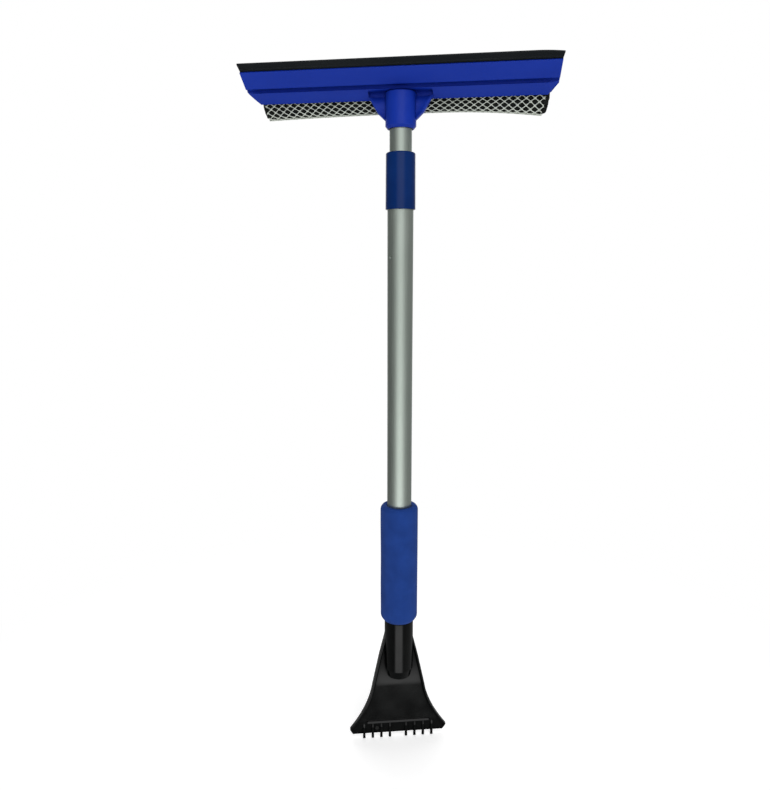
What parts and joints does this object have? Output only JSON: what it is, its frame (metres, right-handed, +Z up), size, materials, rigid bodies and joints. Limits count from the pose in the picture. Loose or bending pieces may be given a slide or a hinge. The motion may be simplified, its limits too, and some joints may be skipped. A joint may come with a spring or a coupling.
{
  "type": "telescopic windscreen squeegee and ice scraper",
  "caption": "Telescopic pole with a wide squeegee head backed by a netted sponge, a padded hand grip, and a toothed ice scraper at the lower end.",
  "frame": {"origin": "on the pole's axis, near the middle of the foam grip", "axes": "+Z up along the pole from the scraper to the head, X across the tool, front faces -Y"},
  "size_m": [0.2581, 0.1051, 0.6191],
  "materials": {
    "aluminium_tube": "satin anodised",
    "collar_plastic": "gloss",
    "blue_foam": "matte closed-cell foam",
    "black_plastic": "gloss",
    "screw_steel": "zinc plated",
    "lock_plastic": "plain",
    "cap_plastic": "plain",
    "blue_plastic": "satin",
    "black_rubber": "matte",
    "black_sponge": "open-cell foam",
    "pale_net": "knotless mesh"
  },
  "bodies": {
    "handle": {"outer_tube": "aluminium_tube", "collar": "collar_plastic", "foam_grip": "blue_foam", "scraper_body": "black_plastic", "scraper_screw": "screw_steel"},
    "lock_ring": {"lock_ring": "lock_plastic"},
    "head": {"inner_tube": "aluminium_tube", "lock_plug": "lock_plastic", "lock_cap": "cap_plastic", "plug_pin": "screw_steel", "head_housing": "blue_plastic", "squeegee_blade": "black_rubber", "sponge": "black_sponge", "sponge_net": "pale_net", "net_clamp": "blue_plastic", "clamp_screw_1": "screw_steel", "clamp_screw_2": "screw_steel", "clamp_screw_3": "screw_steel", "clamp_screw_4": "screw_steel", "head_screw": "screw_steel"}
  },
  "joints": [
    {"name": "pole_slide", "type": "slide", "parent": "handle", "child": "lock_ring", "axis": [0, 0, 1], "range_m": [0, 0.35]},
    {"name": "head_turn", "type": "hinge", "parent": "lock_ring", "child": "head", "pos_m": [0, 0, 0], "axis": [0, 0, 1], "continuous": true}
  ]
}
